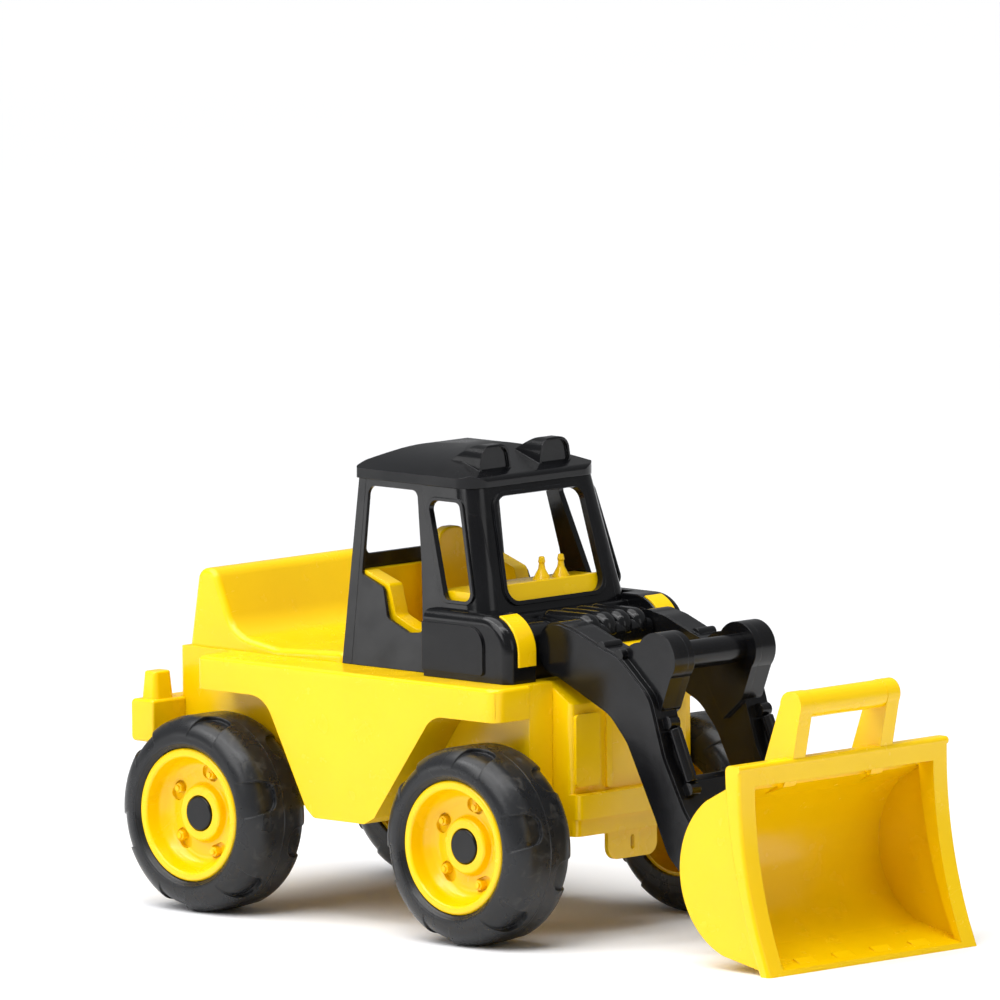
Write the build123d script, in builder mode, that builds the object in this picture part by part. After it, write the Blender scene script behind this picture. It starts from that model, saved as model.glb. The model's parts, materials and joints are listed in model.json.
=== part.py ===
from build123d import *
import os
from math import atan, cos, radians, sin

# A child's ride-on wheel loader: four wheels on two axles, a hollow yellow body with fenders, a black cab
# and hood, and a bucket on two loader arms. Millimetres. +X is forward, +Y is left, +Z is up, and the
# origin is at floor level, in the middle of the overall length and width.

# ---------------------------------------------------------------- driving dimensions
WALL = 3.5                       # moulded wall of the large shells
CLEAR = 0.3                      # gap between mouldings that sit side by side

FRONT_AXLE_X = 45.0
WHEEL_BASE = 335.0
REAR_AXLE_X = FRONT_AXLE_X - WHEEL_BASE
AXLE_RADIUS = 4.0
AXLE_HALF_LENGTH = 164.0
RUNNING_FIT = 0.06               # radial clearance of anything that turns on a steel pin

TYRE_RADIUS = 90.0               # the axles lie this high above the floor
TYRE_OUTER_Y = 184.0
TYRE_WIDTH = 76.0
TYRE_WALL = 4.0
TREAD_DEPTH = 4.0
TREAD_COUNT = 6                  # recesses per shoulder
RIM_LIP_RADIUS = 61.0
RIM_LIP_Y = 180.5
RIM_BARREL_RADIUS = 56.0
HUB_RADIUS = 25.0
HUB_FACE_Y = 165.0
HUB_CAP_RADIUS = 15.5
WHEEL_NUTS = 5

DECK_Z = 232.0                   # top of the fenders and of the body deck
FENDER_HALF_WIDTH = 149.0
FENDER_UNDER_Z = 201.5
FENDER_REAR_X = -307.0
FENDER_FRONT_X = 70.0
SKIRT_BOTTOM_Z = 95.7
TUB_HALF_WIDTH = 105.0
TUB_REAR_X = -372.0
TUB_BOTTOM_Z = 97.0
NOSE_HALF_WIDTH = 75.0
NOSE_REAR_X = 60.0

BUMPER_REAR_X = -395.0
BUMPER_FRONT_X = -366.0
BUMPER_HALF_WIDTH = 147.0

CAB_SILL_Z = 287.0               # where the upright cab base meets the raked upper cab
CAB_TOP_Z = 400.0
CAB_REAR_X = -167.0
CAB_BASE_FRONT_X = -50.0
WINDSCREEN_FOOT_X = 6.0
WINDSCREEN_TOP_X = -21.0
CAB_HALF_WIDTHS = (105.0, 98.0, 84.0)    # at the deck, at the sill, under the roof
CAB_WALL = 5.0
CAB_CORNER = 21.0
CAB_FRONT_HALF_WIDTH = 76.0      # seam between the windscreen frame and the cab's sides
CAB_BACK_FRONT_X = -155.0        # seam between the cab's back and its sides
SEAM = 0.1

HOOD_TOP_Z = 293.0
HOOD_DECK_Z = 282.0              # between the headlight housings
HOOD_FRONT_X = 57.0
HOOD_INNER_Y = 82.0
HOOD_OUTER_Y = 118.0
HOOD_NOSE_RADIUS = 34.0
LOUVRE_HALF_WIDTH = 43.0
LOUVRE_PITCH = 20.0
LOUVRE_TOP_Z = 290.0

ARM_PIVOT = (75.0, 262.0)        # X and Z of the lift axis
ARM_INNER_Y = 45.0
ARM_OUTER_Y = 74.5
ARM_COVER = 3.0
EYE = (190.0, 262.0)             # X and Z of the grip bar between the arms
EYE_RADIUS = 24.0
GRIP_RADIUS = 13.0
BUCKET_PIVOT = (250.0, 75.0)     # X and Z of the tilt axis
BUCKET_HALF_WIDTH = 137.0
BUCKET_SIDE_Y = 130.0
BUCKET_WALL = 4.0
BUCKET_TOP_Z = 187.0
BUCKET_GRIP = (355.0, 234.0)     # X and Z of the handle bar on the bucket
BUCKET_GRIP_RADIUS = 12.5
POST_INNER_Y = 49.0
POST_OUTER_Y = 65.0
TOOTH_PITCH = 49.8

os.makedirs("parts", exist_ok=True)


# ---------------------------------------------------------------- small helpers
def outline(*corners):
    """Fill the closed outline of (x, y, corner radius) triples in the active sketch."""
    with BuildLine() as line:
        FilletPolyline(*[(x, y) for x, y, _ in corners], radius=[r for _, _, r in corners], close=True)
    make_face(line.edges())


def side_plane(y):
    """Upright fore-and-aft plane, y to the right of the centre line, facing right."""
    return Plane.XZ.offset(y)


def mirrored(piece):
    """The left-hand twin of a right-hand piece."""
    return piece.mirror(Plane.XZ)


def save_pair(piece, name):
    """Write a right-hand piece and its left-hand twin."""
    for side, solid in (("right", piece), ("left", mirrored(piece))):
        solid.label = f"{name}_{side}"
        export_step(solid, f"parts/{name}_{side}.step")


def cross_tube(x, z, radius, y_from, y_to, mode=Mode.ADD):
    """Add a cylinder that lies across the toy, between two distances to the right of its centre."""
    with BuildSketch(side_plane(y_from)) as disc:
        with Locations((x, z)):
            Circle(radius)
    extrude(disc.sketch, amount=y_to - y_from, mode=mode)


# ---------------------------------------------------------------- wheels
def make_tyre():
    """Hollow blow-moulded tyre, outer face to the right, with tongue-shaped recesses over both shoulders."""
    inner_y = TYRE_OUTER_Y - TYRE_WIDTH
    floor_radius = TYRE_RADIUS - TREAD_DEPTH
    mid_y = TYRE_OUTER_Y - TYRE_WIDTH / 2
    past_shoulder = TYRE_WIDTH / 2 + 9

    def section(radius, inset, shoulder):
        """Radial section, inset from the outer surface, as (radius, distance to the right)."""
        outline(
            (RIM_BARREL_RADIUS + inset, inner_y + inset, 0),
            (radius, inner_y + inset, shoulder),
            (radius, TYRE_OUTER_Y - 1.5 - inset, shoulder),
            (RIM_LIP_RADIUS + 5, TYRE_OUTER_Y - inset, 4 if inset == 0 else 2),
            (RIM_LIP_RADIUS + 0.2, TYRE_OUTER_Y - 5 - inset, 0),
            (RIM_LIP_RADIUS + 0.2, RIM_LIP_Y - 9 - inset, 0),
            (RIM_BARREL_RADIUS + inset, RIM_LIP_Y - 9 - inset, 0),
        )

    radial = Plane(origin=(0, 0, 0), x_dir=(1, 0, 0), z_dir=(0, 0, -1))
    with BuildPart() as tongues:
        for side, start in ((1, 15), (-1, 45)):
            tread = Plane(origin=(0, -mid_y, RIM_BARREL_RADIUS + 14), x_dir=(0, -side, 0), z_dir=(0, 0, 1))
            with BuildSketch(tread, mode=Mode.PRIVATE) as tongue:
                outline((8, -13, 12), (8, 13, 12), (past_shoulder, 18, 0), (past_shoulder, -18, 0))
            blade = extrude(tongue.sketch, amount=40, mode=Mode.PRIVATE)
            for turn in range(TREAD_COUNT):
                add(blade.rotate(Axis.Y, start + 360 / TREAD_COUNT * turn))
    with BuildPart() as tyre:
        with BuildSketch(radial):
            section(TYRE_RADIUS, 0, 21)
        revolve(axis=Axis.Y)
        add(tongues.part, mode=Mode.SUBTRACT)
        with BuildSketch(radial):
            section(floor_radius, 0, 18)
        revolve(axis=Axis.Y)
        with BuildSketch(radial):
            section(floor_radius - TYRE_WALL, TYRE_WALL, 14)
        revolve(axis=Axis.Y, mode=Mode.SUBTRACT)
        # The moulding's vent, into the barrel side, hidden by the rim.
        with BuildSketch(Plane.XY.offset(RIM_BARREL_RADIUS - 4)):
            with Locations((0, -mid_y)):
                Circle(2.5)
        extrude(amount=12, mode=Mode.SUBTRACT)
    return tyre.part


def make_rim():
    """Dished rim with a lip, a central boss that takes the hub cap, and moulded wheel nuts."""
    inner_y = TYRE_OUTER_Y - TYRE_WIDTH + 4
    radial = Plane(origin=(0, 0, 0), x_dir=(1, 0, 0), z_dir=(0, 0, -1))
    dish_y = 157.0
    with BuildPart() as rim:
        with BuildSketch(radial):
            outline(
                (AXLE_RADIUS + RUNNING_FIT, inner_y - 2, 0),
                (14, inner_y - 2, 1),
                (14, dish_y - 5, 3),
                (RIM_BARREL_RADIUS - 14, dish_y - 5, 14),
                (RIM_BARREL_RADIUS - 3.5, RIM_LIP_Y - 24, 0),
                (RIM_BARREL_RADIUS - 3.5, inner_y, 0),
                (RIM_BARREL_RADIUS, inner_y, 0),
                (RIM_BARREL_RADIUS, RIM_LIP_Y - 9, 0),
                (RIM_LIP_RADIUS, RIM_LIP_Y - 9, 0),
                (RIM_LIP_RADIUS, RIM_LIP_Y, 3),
                (RIM_LIP_RADIUS - 8, RIM_LIP_Y, 2.5),
                (RIM_LIP_RADIUS - 10, RIM_LIP_Y - 14, 9),
                (RIM_LIP_RADIUS - 17, dish_y, 12),
                (HUB_RADIUS + 2, dish_y, 2),
                (HUB_RADIUS, HUB_FACE_Y, 3),
                (HUB_CAP_RADIUS + 1, HUB_FACE_Y, 0),
                (HUB_CAP_RADIUS + 0.6, 157.8, 0),
                (AXLE_RADIUS + RUNNING_FIT, 157.8, 0),
            )
        revolve(axis=Axis.Y)
        nut_face = Plane(origin=(0, -dish_y, 0), x_dir=(1, 0, 0), z_dir=(0, -1, 0))
        pitch_radius = 37.0
        # Teardrop pockets, each with a round nut standing in its deep end.
        with BuildSketch(nut_face.offset(-3)):
            with PolarLocations(pitch_radius, WHEEL_NUTS, start_angle=75):
                with Locations((0, 3)):
                    SlotOverall(20, 12.5, rotation=90)
        extrude(amount=8, mode=Mode.SUBTRACT)
        with BuildSketch(nut_face.offset(-3)):
            with PolarLocations(pitch_radius, WHEEL_NUTS, start_angle=75):
                RegularPolygon(4.8, 6)
        extrude(amount=7)
        with BuildSketch(nut_face.offset(4)):
            with PolarLocations(pitch_radius, WHEEL_NUTS, start_angle=75):
                Circle(2.6)
        extrude(amount=2)
    return rim.part


def make_hub_cap():
    """Push-on cap over the axle end."""
    back_y = HUB_FACE_Y - 5.4
    with BuildPart() as cap:
        cross_tube(0, 0, HUB_CAP_RADIUS, back_y, HUB_FACE_Y + 1.5)
        fillet(cap.edges().group_by(Axis.Y)[0], 1.5)
        cross_tube(0, 0, AXLE_RADIUS + 0.02, back_y, AXLE_HALF_LENGTH + 0.1, mode=Mode.SUBTRACT)
    return cap.part


wheel_parts = {"tyre": make_tyre(), "rim": make_rim(), "hub_cap": make_hub_cap()}
for end, axle_x in (("front", FRONT_AXLE_X), ("rear", REAR_AXLE_X)):
    for kind, right_hand in wheel_parts.items():
        for side, blank in (("right", right_hand), ("left", mirrored(right_hand))):
            placed = blank.moved(Location((axle_x, 0, TYRE_RADIUS)))
            placed.label = f"{kind}_{end}_{side}"
            export_step(placed, f"parts/{kind}_{end}_{side}.step")

    with BuildPart() as axle:
        cross_tube(axle_x, TYRE_RADIUS, AXLE_RADIUS, -AXLE_HALF_LENGTH, AXLE_HALF_LENGTH)
        chamfer(axle.edges(), 0.8)
    axle.part.label = f"axle_{end}"
    export_step(axle.part, f"parts/axle_{end}.step")

    # The carrier hangs the axle under the body: a plate with a bored saddle at each side.
    with BuildPart() as carrier:
        with BuildSketch(Plane.XY.offset(112)):
            with Locations((axle_x, 0)):
                RectangleRounded(28, 202, 4)
        extrude(amount=6)
        for y in (-85, 85):
            with BuildSketch(side_plane(y - 15)):
                outline(
                    (axle_x - 14, 113, 0),
                    (axle_x + 14, 113, 0),
                    (axle_x + 8, TYRE_RADIUS - 6, 6),
                    (axle_x - 8, TYRE_RADIUS - 6, 6),
                )
            extrude(amount=30)
        cross_tube(axle_x, TYRE_RADIUS, AXLE_RADIUS + 0.05, -105, 105, mode=Mode.SUBTRACT)
        with BuildSketch(Plane.XY.offset(112)):
            with GridLocations(0, 100, 1, 2):
                with Locations((axle_x, 0)):
                    Circle(2.3)
        extrude(amount=6, mode=Mode.SUBTRACT)
    carrier.part.label = f"axle_carrier_{end}"
    export_step(carrier.part, f"parts/axle_carrier_{end}.step")

with BuildPart() as axle_spacers:
    for axle_x in (FRONT_AXLE_X, REAR_AXLE_X):
        for y in (-109.6, 101.2):
            cross_tube(axle_x, TYRE_RADIUS, 6.5, y, y + 8.4)
            cross_tube(axle_x, TYRE_RADIUS, AXLE_RADIUS + 0.05, y, y + 8.4, mode=Mode.SUBTRACT)
axle_spacers.part.label = "axle_spacers"
export_step(axle_spacers.part, "parts/axle_spacers.step")

with BuildPart() as axle_washers:
    for axle_x in (FRONT_AXLE_X, REAR_AXLE_X):
        for y in (-159.2, 158.2):
            cross_tube(axle_x, TYRE_RADIUS, 9, y, y + 1)
            cross_tube(axle_x, TYRE_RADIUS, AXLE_RADIUS + 0.05, y, y + 1, mode=Mode.SUBTRACT)
axle_washers.part.label = "axle_washers"
export_step(axle_washers.part, "parts/axle_washers.step")

with BuildPart() as carrier_screws:
    for axle_x in (FRONT_AXLE_X, REAR_AXLE_X):
        for y in (-50, 50):
            with BuildSketch(Plane.XY.offset(109.4)):
                with Locations((axle_x, y)):
                    Circle(4.2)
            extrude(amount=2.6)
            with BuildSketch(Plane.XY.offset(112)):
                with Locations((axle_x, y)):
                    Circle(2)
            extrude(amount=18)
carrier_screws.part.label = "carrier_screws"
export_step(carrier_screws.part, "parts/carrier_screws.step")


# ---------------------------------------------------------------- body
def fender_outline():
    """Side view of the fenders and the skirt between the wheels."""
    outline(
        (FENDER_REAR_X, FENDER_UNDER_Z, 0),
        (-222, FENDER_UNDER_Z, 30),
        (-170, 104, 0),
        (-160, SKIRT_BOTTOM_Z, 8),
        (-96, SKIRT_BOTTOM_Z, 8),
        (-84, 102, 0),
        (-10, FENDER_UNDER_Z, 26),
        (FENDER_FRONT_X, FENDER_UNDER_Z, 0),
        (FENDER_FRONT_X, DECK_Z, 0),
        (FENDER_REAR_X, DECK_Z, 0),
    )


with BuildPart() as fender:
    with BuildSketch(side_plane(TUB_HALF_WIDTH + CLEAR)):
        fender_outline()
    extrude(amount=FENDER_HALF_WIDTH - TUB_HALF_WIDTH - CLEAR)
    corners = [e for e in fender.edges().filter_by(Axis.Z) if abs(e.center().Y) > FENDER_HALF_WIDTH - 1]
    fillet([e for e in corners if e.center().X > FENDER_FRONT_X - 1], 12)
    fillet([e for e in corners if e.center().X < FENDER_REAR_X + 1], 5)
    deck_edges = fender.faces().sort_by(Axis.Z)[-1].outer_wire().edges()
    fillet([e for e in deck_edges if abs(e.center().Y) > TUB_HALF_WIDTH + 1], 4)
    # Open on the inner side, where it stands against the body.
    with BuildSketch(side_plane(TUB_HALF_WIDTH)):
        fender_outline()
        offset(amount=-WALL, kind=Kind.INTERSECTION)
    extrude(amount=FENDER_HALF_WIDTH - TUB_HALF_WIDTH - WALL, mode=Mode.SUBTRACT)
save_pair(fender.part, "fender")

with BuildPart() as main_body:
    with BuildSketch(Plane.XZ):
        outline(
            (TUB_REAR_X, TUB_BOTTOM_Z + 20, 10),
            (TUB_REAR_X + 30, TUB_BOTTOM_Z, 10),
            (FENDER_FRONT_X, TUB_BOTTOM_Z, 0),
            (FENDER_FRONT_X, DECK_Z, 0),
            (TUB_REAR_X, DECK_Z, 0),
        )
    extrude(amount=TUB_HALF_WIDTH, both=True)
    fillet([e for e in main_body.edges() if e.center().X < TUB_REAR_X + 1 and e.center().Z > 150], 4)
    # Hollow from beneath.
    with BuildSketch(Plane.XZ):
        outline(
            (TUB_REAR_X + WALL, TUB_BOTTOM_Z + 22, 8),
            (TUB_REAR_X + 32, TUB_BOTTOM_Z - 5, 0),
            (FENDER_FRONT_X - WALL, TUB_BOTTOM_Z - 5, 0),
            (FENDER_FRONT_X - WALL, DECK_Z - WALL, 0),
            (TUB_REAR_X + WALL, DECK_Z - WALL, 0),
        )
    extrude(amount=TUB_HALF_WIDTH - WALL, both=True, mode=Mode.SUBTRACT)
    # The notch that the nose panel fills.
    with BuildSketch(Plane.XY.offset(TUB_BOTTOM_Z - 5)):
        with Locations(((NOSE_REAR_X + FENDER_FRONT_X + 10) / 2, 0)):
            Rectangle(FENDER_FRONT_X + 10 - NOSE_REAR_X, 2 * (NOSE_HALF_WIDTH + CLEAR))
    extrude(amount=200, mode=Mode.SUBTRACT)
    # Screw posts for the axle carriers.
    for axle_x in (FRONT_AXLE_X, REAR_AXLE_X):
        with BuildSketch(Plane.XY.offset(118.2)):
            with Locations((axle_x, -50), (axle_x, 50)):
                Circle(8)
        extrude(amount=DECK_Z - 2 - 118.2)
        with BuildSketch(Plane.XY.offset(118.2)):
            with Locations((axle_x, -50), (axle_x, 50)):
                Circle(2.05)
        extrude(amount=20, mode=Mode.SUBTRACT)
main_body.part.label = "main_body"
export_step(main_body.part, "parts/main_body.step")

with BuildPart() as nose_panel:
    with BuildSketch(Plane.XZ):
        outline(
            (NOSE_REAR_X + CLEAR, 93.5, 0),
            (93, 93.5, 0),
            (93, 213, 0),
            (63, DECK_Z, 0),
            (NOSE_REAR_X + CLEAR, DECK_Z, 0),
        )
    extrude(amount=NOSE_HALF_WIDTH, both=True)
    fillet(nose_panel.edges().filter_by(Axis.Z).filter_by_position(Axis.X, 92, 94), 5)
    # Bumper band and the skirt under it.
    for front_x, low_z, high_z in ((99, 93.5, 109), (102, 109, 131.5)):
        with BuildSketch(Plane.XY.offset(low_z)):
            outline(
                (NOSE_REAR_X + CLEAR, -NOSE_HALF_WIDTH, 0),
                (front_x, -NOSE_HALF_WIDTH, 6),
                (front_x, NOSE_HALF_WIDTH, 6),
                (NOSE_REAR_X + CLEAR, NOSE_HALF_WIDTH, 0),
            )
        extrude(amount=high_z - low_z)
    # Centre block between the arms, which carries the lift pin.
    with BuildSketch(Plane.XZ):
        outline(
            (NOSE_REAR_X + CLEAR, 200, 0),
            (93, 200, 0),
            (96, 262, 6),
            (81.2, 262, 0),
            (81.2, 274, 6),
            (NOSE_REAR_X + CLEAR, 274, 6),
        )
    extrude(amount=39.4, both=True)
    with BuildSketch(Plane.XZ):
        outline(
            (NOSE_REAR_X - 5, 85, 0),
            (94, 85, 0),
            (94, 110, 0),
            (97, 113, 0),
            (96, 127, 0),
            (88, 129, 0),
            (89, 210, 3),
            (62, DECK_Z - WALL, 3),
            (NOSE_REAR_X - 5, DECK_Z - WALL, 0),
        )
    extrude(amount=NOSE_HALF_WIDTH - WALL, both=True, mode=Mode.SUBTRACT)
    # The centre block is hollow from beneath, with thick cheeks around the lift pin.
    with BuildSketch(Plane.XY.offset(205)):
        with Locations((73, 0)):
            Rectangle(19, 66)
    extrude(amount=53, mode=Mode.SUBTRACT)
    with BuildSketch(Plane.XY.offset(250)):
        with Locations((75, 0)):
            Rectangle(15, 66)
    extrude(amount=20, mode=Mode.SUBTRACT)
    cross_tube(*ARM_PIVOT, 5.02, -45, 45, mode=Mode.SUBTRACT)
    # Raised grille panels and upright ribs on the front face.
    for side in (-1, 1):
        with BuildSketch(Plane.YZ.offset(90)):
            with Locations((side * 56, 171)):
                RectangleRounded(31, 66, 4)
            with Locations((side * 28, 171)):
                RectangleRounded(7, 74, 3)
        extrude(amount=6)
    # Tow tab under the bumper band, with an upright slot.
    with BuildSketch(Plane.YZ.offset(92.5)):
        outline((-32, 68, 12), (32, 68, 12), (32, 109, 0), (-32, 109, 0))
    extrude(amount=4.5)
    with BuildSketch(Plane.YZ.offset(90)):
        with Locations((0, 82)):
            SlotOverall(13, 5, rotation=90)
    extrude(amount=12, mode=Mode.SUBTRACT)
nose_panel.part.label = "nose_panel"
export_step(nose_panel.part, "parts/nose_panel.step")

with BuildPart() as rear_bumper:
    with BuildSketch(Plane.XZ):
        outline((BUMPER_REAR_X, 146, 5), (BUMPER_FRONT_X, 146, 3), (BUMPER_FRONT_X, 185, 3),
                (BUMPER_REAR_X, 185, 5))
    extrude(amount=BUMPER_HALF_WIDTH, both=True)
    fillet(rear_bumper.faces().group_by(Axis.Y)[0].edges(), 2.5)
    fillet(rear_bumper.faces().group_by(Axis.Y)[-1].edges(), 2.5)
    with BuildSketch(Plane.XY.offset(140)):
        with Locations((TUB_REAR_X - CLEAR + 25, 0)):
            Rectangle(50, 2 * (TUB_HALF_WIDTH + CLEAR))
    extrude(amount=60, mode=Mode.SUBTRACT)
    # Light blocks that taper upwards, one near each end.
    for y in (-128, 128):
        with BuildSketch(Plane.XY.offset(184)):
            with Locations((-379, y)):
                RectangleRounded(21, 26, 6.5)
        extrude(amount=26, taper=6)
    fillet(rear_bumper.faces().group_by(Axis.Z)[-1].edges(), 2)
    # Hollow from the front, hidden against the body.
    with BuildSketch(Plane.XZ):
        outline((BUMPER_REAR_X + WALL, 150, 2), (-360, 150, 0), (-360, 181, 0), (BUMPER_REAR_X + WALL, 181, 2))
    extrude(amount=TUB_HALF_WIDTH - 4, both=True, mode=Mode.SUBTRACT)
rear_bumper.part.label = "rear_bumper"
export_step(rear_bumper.part, "parts/rear_bumper.step")

with BuildPart() as seat:
    with BuildSketch(Plane.XZ):
        outline(
            (-366, DECK_Z, 0),
            (-354, 304, 12),
            (-333, 304, 12),
            (-308, 246, 34),
            (-255, 238, 40),
            (CAB_REAR_X - CLEAR, 242, 5),
            (CAB_REAR_X - CLEAR, DECK_Z, 0),
        )
    extrude(amount=100, both=True)
    back_rounds = seat.edges().filter_by_position(Axis.X, -366, -325).filter_by_position(Axis.Z, 295, 304)
    fillet([e for e in back_rounds if abs(e.center().Y) > 99], 6)
    # Hollow from beneath.
    with BuildSketch(Plane.XZ):
        outline(
            (-362, DECK_Z - 5, 0),
            (-351, 297, 8),
            (-336, 297, 8),
            (-312, 243, 34),
            (-255, 234.6, 0),
            (-174, 237, 0),
            (-174, DECK_Z - 5, 0),
        )
    extrude(amount=100 - WALL, both=True, mode=Mode.SUBTRACT)
seat.part.label = "seat"
export_step(seat.part, "parts/seat.step")


# ---------------------------------------------------------------- hood and headlights
def hood_box_outline(grow):
    """Side view of a headlight housing, grown outwards at the top and front."""
    outline(
        (CAB_BASE_FRONT_X + CLEAR, DECK_Z + 0.2, 0),
        (HOOD_FRONT_X + grow, DECK_Z + 0.2, 0),
        (HOOD_FRONT_X + grow, HOOD_TOP_Z + grow, HOOD_NOSE_RADIUS + grow),
        (CAB_BASE_FRONT_X + CLEAR, HOOD_TOP_Z + grow, 0),
    )


def headlight_band(outer, inner):
    """Strip over the housing's rounded front, between two heights above its surface."""
    centre = (HOOD_FRONT_X - HOOD_NOSE_RADIUS, HOOD_TOP_Z - HOOD_NOSE_RADIUS)
    foot_z = 247.0
    start = 71.0

    def on_arc(height, angle):
        radius = HOOD_NOSE_RADIUS + height
        return (centre[0] + radius * cos(radians(angle)), centre[1] + radius * sin(radians(angle)))

    with BuildLine() as edge:
        ThreePointArc(on_arc(outer, start), on_arc(outer, start / 2), on_arc(outer, 0))
        Line(on_arc(outer, 0), (HOOD_FRONT_X + outer, foot_z))
        Line((HOOD_FRONT_X + outer, foot_z), (HOOD_FRONT_X + inner, foot_z))
        Line((HOOD_FRONT_X + inner, foot_z), on_arc(inner, 0))
        ThreePointArc(on_arc(inner, 0), on_arc(inner, start / 2), on_arc(inner, start))
        Line(on_arc(inner, start), on_arc(outer, start))
    make_face(edge.edges())


LENS_INNER_Y = 83.5
LENS_WIDTH = 22.5
with BuildPart() as louvre:
    with BuildSketch(Plane.XZ):
        outline((20, 268, 0), (85, 268, 4), (83, LOUVRE_TOP_Z, 15), (20, LOUVRE_TOP_Z, 6))
    extrude(amount=9, both=True)
    fillet(louvre.edges().filter_by(Axis.X).filter_by_position(Axis.Z, 276, 300), 7.5)

with BuildPart() as hood:
    for y in (HOOD_INNER_Y, -HOOD_OUTER_Y):
        with BuildSketch(side_plane(y)):
            hood_box_outline(0)
        extrude(amount=HOOD_OUTER_Y - HOOD_INNER_Y)
    outer_edges = [e for e in hood.edges() if abs(e.center().Y) > HOOD_OUTER_Y - 0.5 and e.center().Z > 240]
    fillet([e for e in outer_edges if e.center().X > CAB_BASE_FRONT_X + 1], 9)
    inner_edges = [e for e in hood.edges() if abs(abs(e.center().Y) - HOOD_INNER_Y) < 0.5]
    fillet([e for e in inner_edges if e.center().Z > 250 and e.center().X > CAB_BASE_FRONT_X + 1], 1.5)
    # Deck between the housings, rounded down to the slots that the arms sit in.
    with BuildSketch(Plane.XZ):
        outline((CAB_BASE_FRONT_X + CLEAR, DECK_Z + 0.2, 0), (45, DECK_Z + 0.2, 0), (45, HOOD_DECK_Z, 16),
                (CAB_BASE_FRONT_X + CLEAR, HOOD_DECK_Z, 0))
    extrude(amount=HOOD_INNER_Y, both=True)
    # Centre block under the louvres.
    with BuildSketch(Plane.XZ):
        outline((20, DECK_Z + 0.2, 0), (48, DECK_Z + 0.2, 0), (48, 262, 0), (84, 262, 0),
                (84, HOOD_DECK_Z - 2, 9), (20, HOOD_DECK_Z + 2, 0))
    extrude(amount=LOUVRE_HALF_WIDTH, both=True)
    # Lip at the windscreen's foot.
    with BuildSketch(Plane.XZ):
        outline((-2, 276, 0), (18, 276, 0), (14, CAB_SILL_Z, 2), (-2, CAB_SILL_Z, 0))
    extrude(amount=HOOD_INNER_Y, both=True)
    # Rolled louvres running fore and aft.
    for y in (-1.5 * LOUVRE_PITCH, -0.5 * LOUVRE_PITCH, 0.5 * LOUVRE_PITCH, 1.5 * LOUVRE_PITCH):
        add(louvre.part.moved(Location((0, y, 0))))
    # Hollow from beneath.
    for y in (HOOD_INNER_Y + WALL, -HOOD_OUTER_Y + WALL):
        with BuildSketch(side_plane(y)):
            outline(
                (CAB_BASE_FRONT_X + 4, DECK_Z - 2, 0),
                (HOOD_FRONT_X - 6, DECK_Z - 2, 0),
                (HOOD_FRONT_X - 6, HOOD_TOP_Z - 6, HOOD_NOSE_RADIUS - 4),
                (CAB_BASE_FRONT_X + 4, HOOD_TOP_Z - 8, 0),
            )
        extrude(amount=HOOD_OUTER_Y - HOOD_INNER_Y - 2 * WALL, mode=Mode.SUBTRACT)
    with BuildSketch(Plane.XZ):
        outline((CAB_BASE_FRONT_X + 4, DECK_Z - 2, 0), (41, DECK_Z - 2, 0), (41, HOOD_DECK_Z - 4, 12),
                (CAB_BASE_FRONT_X + 4, HOOD_DECK_Z - 4, 0))
    extrude(amount=HOOD_INNER_Y - WALL, both=True, mode=Mode.SUBTRACT)
    with BuildSketch(Plane.XZ):
        outline((40, DECK_Z - 2, 0), (81.5, DECK_Z - 2, 0), (81.5, HOOD_DECK_Z - 7, 6), (40, HOOD_DECK_Z - 3, 0))
    extrude(amount=LOUVRE_HALF_WIDTH - 3.3, both=True, mode=Mode.SUBTRACT)
    cross_tube(*ARM_PIVOT, 5.6, -45, 45, mode=Mode.SUBTRACT)
    # The raked cab stands between the housings.
    with BuildSketch(Plane.XY.offset(CAB_SILL_Z)):
        with Locations(((CAB_BASE_FRONT_X + WINDSCREEN_FOOT_X) / 2, 0)):
            Rectangle(WINDSCREEN_FOOT_X - CAB_BASE_FRONT_X + 2, 2 * CAB_HALF_WIDTHS[1] + 3)
    extrude(amount=20, mode=Mode.SUBTRACT)
    # Raised side panels.
    for y in (HOOD_OUTER_Y - 3, -HOOD_OUTER_Y - 2.2):
        with BuildSketch(side_plane(y)):
            outline((CAB_BASE_FRONT_X + CLEAR, 238, 0), (26, 238, 4), (26, 282, 18),
                    (CAB_BASE_FRONT_X + CLEAR, 282, 0))
        extrude(amount=5.2)
    # Seats for the headlights.
    for y in (LENS_INNER_Y - 0.2, -LENS_INNER_Y - LENS_WIDTH - 0.2):
        with BuildSketch(side_plane(y)):
            headlight_band(6, -2.2)
        extrude(amount=LENS_WIDTH + 0.4, mode=Mode.SUBTRACT)
hood.part.label = "hood"
export_step(hood.part, "parts/hood.step")

with BuildPart() as headlight:
    with BuildSketch(side_plane(LENS_INNER_Y)):
        headlight_band(1.3, -2)
    extrude(amount=LENS_WIDTH)
    fillet(headlight.faces().sort_by(Axis.Y)[0].edges().group_by(SortBy.LENGTH)[-1], 1)
save_pair(headlight.part, "headlight")

# ---------------------------------------------------------------- cab
rake = (WINDSCREEN_FOOT_X - WINDSCREEN_TOP_X) / (CAB_TOP_Z - CAB_SILL_Z)
lean = (CAB_HALF_WIDTHS[1] - CAB_HALF_WIDTHS[2]) / (CAB_TOP_Z - CAB_SILL_Z)
rake_angle, lean_angle = atan(rake), atan(lean)
windscreen_plane = Plane(origin=(WINDSCREEN_FOOT_X, 0, CAB_SILL_Z), x_dir=(0, 1, 0),
                         z_dir=(cos(rake_angle), 0, sin(rake_angle)))
cab_side_plane = Plane(origin=(0, -CAB_HALF_WIDTHS[1], CAB_SILL_Z), x_dir=(1, 0, 0),
                       z_dir=(0, -cos(lean_angle), sin(lean_angle)))


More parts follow.
